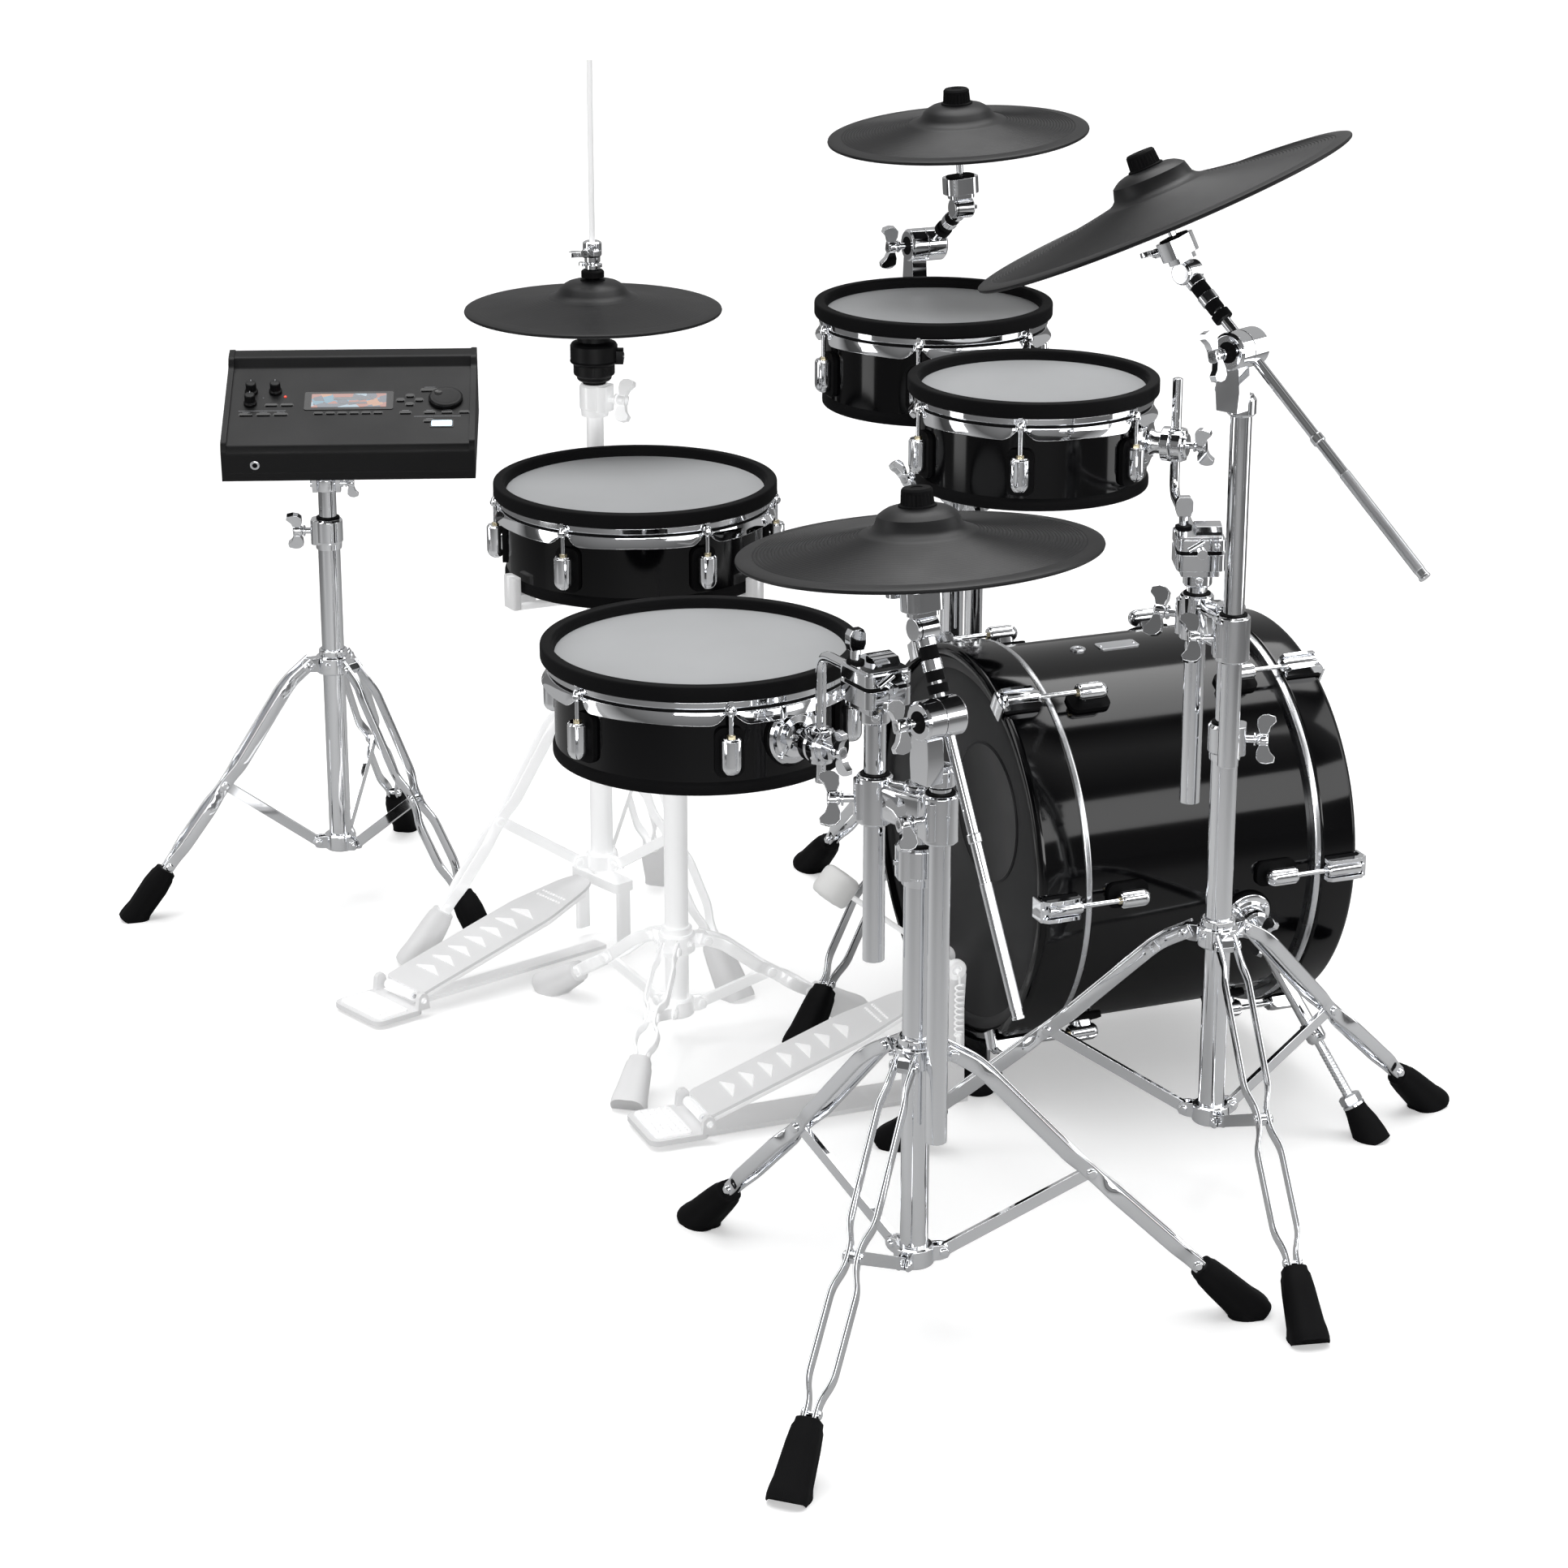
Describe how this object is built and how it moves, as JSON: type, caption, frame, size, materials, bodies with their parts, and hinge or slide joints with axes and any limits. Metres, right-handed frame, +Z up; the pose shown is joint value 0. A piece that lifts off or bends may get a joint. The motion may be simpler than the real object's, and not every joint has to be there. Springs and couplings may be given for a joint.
{
  "type": "drum kit",
  "caption": "Compact drum kit with shallow mesh-head drums, a bass drum on spurs, rubber cymbal pads, a sound module, boom and tripod stands and foot pedals.",
  "frame": {"origin": "middle of the kit footprint, on the floor", "axes": "+X towards the right hand of the player, +Y from the player towards the front head of the bass drum, +Z up"},
  "size_m": [2.0036, 1.328, 1.172],
  "materials": {
    "gloss_black_shell": "high gloss lacquer",
    "gloss_black_hoop": "high gloss lacquer",
    "chrome": "polished plating",
    "black_rubber": "matte, finely moulded",
    "cymbal_rubber": "matte with fine concentric grooves",
    "mesh_head": "fine woven mesh in a rubber rim",
    "black_head": "matte film",
    "module_plastic": "fine moulded texture",
    "lit_key": "translucent, lit from behind",
    "pale_metal": "pale soft-sheen plating",
    "boots": "matte"
  },
  "bodies": {
    "root": {"bass_shell": "gloss_black_shell", "bass_hoops": "gloss_black_hoop", "bass_heads": "black_head", "bass_fittings": "chrome", "bass_riser": "black_rubber", "stand_legs": "chrome", "stand_feet": "boots", "front_column": "chrome", "right_column": "chrome", "left_column": "chrome", "module_column": "chrome", "hihat_column": "pale_metal", "hihat_sensor": "module_plastic", "snare_column": "pale_metal", "kick_base": "pale_metal"},
    "front_pipe": {"front_pipe": "chrome"},
    "front_arm": {"front_arm": "chrome"},
    "front_pad": {"front_pad": "cymbal_rubber"},
    "ride_pipe": {"ride_pipe": "chrome"},
    "ride_arm": {"ride_arm": "chrome"},
    "ride_pad": {"ride_pad": "cymbal_rubber"},
    "crash_pipe": {"crash_pipe": "chrome"},
    "crash_arm": {"crash_arm": "chrome"},
    "crash_pad": {"crash_pad": "cymbal_rubber"},
    "floor_tom_pipe": {"floor_tom_pipe": "chrome"},
    "floor_tom": {"floor_tom_shell": "gloss_black_shell", "floor_tom_head": "mesh_head", "floor_tom_hardware": "chrome"},
    "tom_left_pipe": {"tom_left_pipe": "chrome"},
    "tom_left": {"tom_left_shell": "gloss_black_shell", "tom_left_head": "mesh_head", "tom_left_hardware": "chrome"},
    "tom_right_pipe": {"tom_right_pipe": "chrome"},
    "tom_right": {"tom_right_shell": "gloss_black_shell", "tom_right_head": "mesh_head", "tom_right_hardware": "chrome"},
    "snare": {"snare_basket": "pale_metal", "snare_shell": "gloss_black_shell", "snare_head": "mesh_head", "snare_hardware": "chrome"},
    "bass_spur_left": {"bass_spur_left": "chrome"},
    "bass_spur_right": {"bass_spur_right": "chrome"},
    "hihat_pedal": {"hihat_pedal": "pale_metal"},
    "hihat_rod": {"hihat_rod": "pale_metal"},
    "hihat_pad": {"hihat_pad": "cymbal_rubber"},
    "kick_pedal": {"kick_pedal": "pale_metal"},
    "kick_beater": {"kick_beater": "pale_metal"},
    "module": {"module_case": "module_plastic"},
    "module_knob_master": {"module_knob_master": "module_plastic"},
    "module_knob_phones": {"module_knob_phones": "module_plastic"},
    "module_knob_mix": {"module_knob_mix": "module_plastic"},
    "module_dial": {"module_dial": "module_plastic"},
    "module_pad_key": {"module_pad_key": "lit_key"},
    "module_leg_collar": {"module_leg_collar": "chrome"},
    "module_leg_1": {"module_leg_1": "chrome"},
    "module_brace_1": {"module_brace_1": "chrome"},
    "module_leg_2": {"module_leg_2": "chrome"},
    "module_brace_2": {"module_brace_2": "chrome"},
    "module_leg_3": {"module_leg_3": "chrome"},
    "module_brace_3": {"module_brace_3": "chrome"}
  },
  "joints": [
    {"name": "front_height", "type": "slide", "parent": "root", "child": "front_pipe", "axis": [0, 0, 1], "range_m": [0, 0.06]},
    {"name": "front_boom_tilt", "type": "hinge", "parent": "front_pipe", "child": "front_arm", "pos_m": [0.7509, -0.166, 0.676], "axis": [-0.2249, 0.9744, 0], "range_deg": [-14, 2]},
    {"name": "front_pad_rock", "type": "hinge", "parent": "front_arm", "child": "front_pad", "pos_m": [0.70675, -0.17352, 0.86589], "axis": [0, 1, 0], "range_deg": [-6, 6], "stiffness_Nm_per_rad": 4},
    {"name": "ride_height", "type": "slide", "parent": "root", "child": "ride_pipe", "axis": [0, 0, 1], "range_m": [-0.03, 0.08]},
    {"name": "ride_boom_tilt", "type": "hinge", "parent": "ride_pipe", "child": "ride_arm", "pos_m": [0.5509, 0.2545, 0.958], "axis": [-0.4343, 0.9008, 0], "range_deg": [-8, 12]},
    {"name": "ride_pad_rock", "type": "hinge", "parent": "ride_arm", "child": "ride_pad", "pos_m": [0.45325, 0.1908, 1.12167], "axis": [0.7842, -0.6205, 0], "range_deg": [-6, 6], "stiffness_Nm_per_rad": 4},
    {"name": "crash_height", "type": "slide", "parent": "root", "child": "crash_pipe", "axis": [0, 0, 1], "range_m": [0, 0.06]},
    {"name": "crash_boom_tilt", "type": "hinge", "parent": "crash_pipe", "child": "crash_arm", "pos_m": [-0.3061, 0.285, 0.908], "axis": [0.0208, -0.9998, 0], "range_deg": [-6, 15]},
    {"name": "crash_pad_rock", "type": "hinge", "parent": "crash_arm", "child": "crash_pad", "pos_m": [-0.21953, 0.28197, 1.08292], "axis": [0, 1, 0], "range_deg": [-6, 6], "stiffness_Nm_per_rad": 4},
    {"name": "floor_tom_height", "type": "slide", "parent": "root", "child": "floor_tom_pipe", "axis": [0, 0, 1], "range_m": [-0.04, 0.03]},
    {"name": "floor_tom_tilt", "type": "hinge", "parent": "floor_tom_pipe", "child": "floor_tom", "pos_m": [0.6749, -0.202, 0.695], "axis": [0.9911, 0.1334, 0], "range_deg": [-8, 8]},
    {"name": "tom_left_height", "type": "slide", "parent": "root", "child": "tom_left_pipe", "axis": [0, 0, 1], "range_m": [-0.012, 0.03]},
    {"name": "tom_left_tilt", "type": "hinge", "parent": "tom_left_pipe", "child": "tom_left", "pos_m": [-0.2091, 0.309, 0.704], "axis": [0.716, -0.6981, 0], "range_deg": [-5, 5]},
    {"name": "tom_right_height", "type": "slide", "parent": "root", "child": "tom_right_pipe", "axis": [0, 0, 1], "range_m": [-0.007, 0.04]},
    {"name": "tom_right_tilt", "type": "hinge", "parent": "tom_right_pipe", "child": "tom_right", "pos_m": [0.4649, 0.257, 0.728], "axis": [0.9361, -0.3516, 0], "range_deg": [-6, 6]},
    {"name": "snare_tilt", "type": "hinge", "parent": "root", "child": "snare", "pos_m": [-0.1251, -0.115, 0.52], "axis": [-0.5739, 0.8189, 0], "range_deg": [-6, 6]},
    {"name": "bass_spur_left_fold", "type": "hinge", "parent": "root", "child": "bass_spur_left", "pos_m": [-0.11941, 0.416, 0.23756], "axis": [0.9744, 0, 0.225], "range_deg": [0, 6.4]},
    {"name": "bass_spur_right_fold", "type": "hinge", "parent": "root", "child": "bass_spur_right", "pos_m": [0.31321, 0.416, 0.23756], "axis": [0.9744, 0, -0.225], "range_deg": [0, 8]},
    {"name": "hihat_pedal_press", "type": "hinge", "parent": "root", "child": "hihat_pedal", "pos_m": [-0.3431, -0.398, 0.022], "axis": [-0.9469, -0.3214, 0], "range_deg": [0, 5]},
    {"name": "hihat_rod_pull", "type": "slide", "parent": "root", "child": "hihat_rod", "axis": [0, 0, 1], "range_m": [-0.026, 0], "stiffness_N_per_m": 600, "springref_m": 0.05},
    {"name": "hihat_pad_rock", "type": "hinge", "parent": "hihat_rod", "child": "hihat_pad", "pos_m": [-0.4471, -0.097, 0.859], "axis": [0, 1, 0], "range_deg": [-4, 4], "stiffness_Nm_per_rad": 4},
    {"name": "kick_pedal_press", "type": "hinge", "parent": "root", "child": "kick_pedal", "pos_m": [0.1389, -0.191, 0.024], "axis": [-1, 0, 0], "range_deg": [0, 12], "stiffness_Nm_per_rad": 4, "springref_deg": -22.92},
    {"name": "kick_beater_swing", "type": "hinge", "parent": "root", "child": "kick_beater", "pos_m": [0.1389, 0.112, 0.168], "axis": [-1, 0, 0], "range_deg": [0, 42]},
    {"name": "module_tilt", "type": "hinge", "parent": "root", "child": "module", "pos_m": [-0.7441, -0.36, 0.56597], "axis": [-0.3256, -0.9455, 0], "range_deg": [-12, 20]},
    {"name": "module_knob_master_turn", "type": "hinge", "parent": "module", "child": "module_knob_master", "pos_m": [-0.83119, -0.43145, 0.67239], "axis": [-0.3467, 0.1194, -0.9304], "range_deg": [-135, 135]},
    {"name": "module_knob_phones_turn", "type": "hinge", "parent": "module", "child": "module_knob_phones", "pos_m": [-0.82109, -0.40214, 0.67239], "axis": [-0.3467, 0.1194, -0.9304], "range_deg": [-135, 135]},
    {"name": "module_knob_mix_turn", "type": "hinge", "parent": "module", "child": "module_knob_mix", "pos_m": [-0.80831, -0.43933, 0.66285], "axis": [-0.3467, 0.1194, -0.9304], "range_deg": [-135, 135]},
    {"name": "module_dial_turn", "type": "hinge", "parent": "module", "child": "module_dial", "pos_m": [-0.73044, -0.20174, 0.66432], "axis": [0.3467, -0.1194, 0.9304], "continuous": true},
    {"name": "module_pad_key_press", "type": "slide", "parent": "module", "child": "module_pad_key", "axis": [-0.3467, 0.1194, -0.9304], "range_m": [0, 0.0012], "stiffness_N_per_m": 400, "springref_m": -0.0005},
    {"name": "module_stand_fold", "type": "slide", "parent": "root", "child": "module_leg_collar", "axis": [0, 0, 1], "range_m": [0, 0.0909]},
    {"name": "module_leg_1_fold", "type": "hinge", "parent": "module_leg_collar", "child": "module_leg_1", "pos_m": [-0.7468, -0.3959, 0.325], "axis": [0.9972, -0.075, 0], "range_deg": [0, 27.89]},
    {"name": "module_brace_1_fold", "type": "hinge", "parent": "root", "child": "module_brace_1", "pos_m": [-0.74635, -0.38992, 0.081], "axis": [-0.9972, 0.075, 0], "range_deg": [0, 39.03]},
    {"name": "module_leg_2_fold", "type": "hinge", "parent": "module_leg_collar", "child": "module_leg_2", "pos_m": [-0.71166, -0.34439, 0.325], "axis": [-0.4337, 0.9011, 0], "range_deg": [0, 27.89]},
    {"name": "module_brace_2_fold", "type": "hinge", "parent": "root", "child": "module_brace_2", "pos_m": [-0.71707, -0.34699, 0.081], "axis": [0.4337, -0.9011, 0], "range_deg": [0, 39.03]},
    {"name": "module_leg_3_fold", "type": "hinge", "parent": "module_leg_collar", "child": "module_leg_3", "pos_m": [-0.77384, -0.33971, 0.325], "axis": [-0.5635, -0.8261, 0], "range_deg": [0, 27.89]},
    {"name": "module_brace_3_fold", "type": "hinge", "parent": "root", "child": "module_brace_3", "pos_m": [-0.76888, -0.34309, 0.081], "axis": [0.5635, 0.8261, 0], "range_deg": [0, 39.03]}
  ],
  "couplings": [
    {"joint": "hihat_rod_pull", "follows": "hihat_pedal_press", "m_per_rad": -0.29794},
    {"joint": "kick_beater_swing", "follows": "kick_pedal_press", "ratio": 3.5},
    {"joint": "module_leg_1_fold", "follows": "module_stand_fold", "rad_per_m": 5.3455},
    {"joint": "module_brace_1_fold", "follows": "module_stand_fold", "rad_per_m": 7.4845},
    {"joint": "module_leg_2_fold", "follows": "module_stand_fold", "rad_per_m": 5.3455},
    {"joint": "module_brace_2_fold", "follows": "module_stand_fold", "rad_per_m": 7.4845},
    {"joint": "module_leg_3_fold", "follows": "module_stand_fold", "rad_per_m": 5.3455},
    {"joint": "module_brace_3_fold", "follows": "module_stand_fold", "rad_per_m": 7.4845}
  ]
}
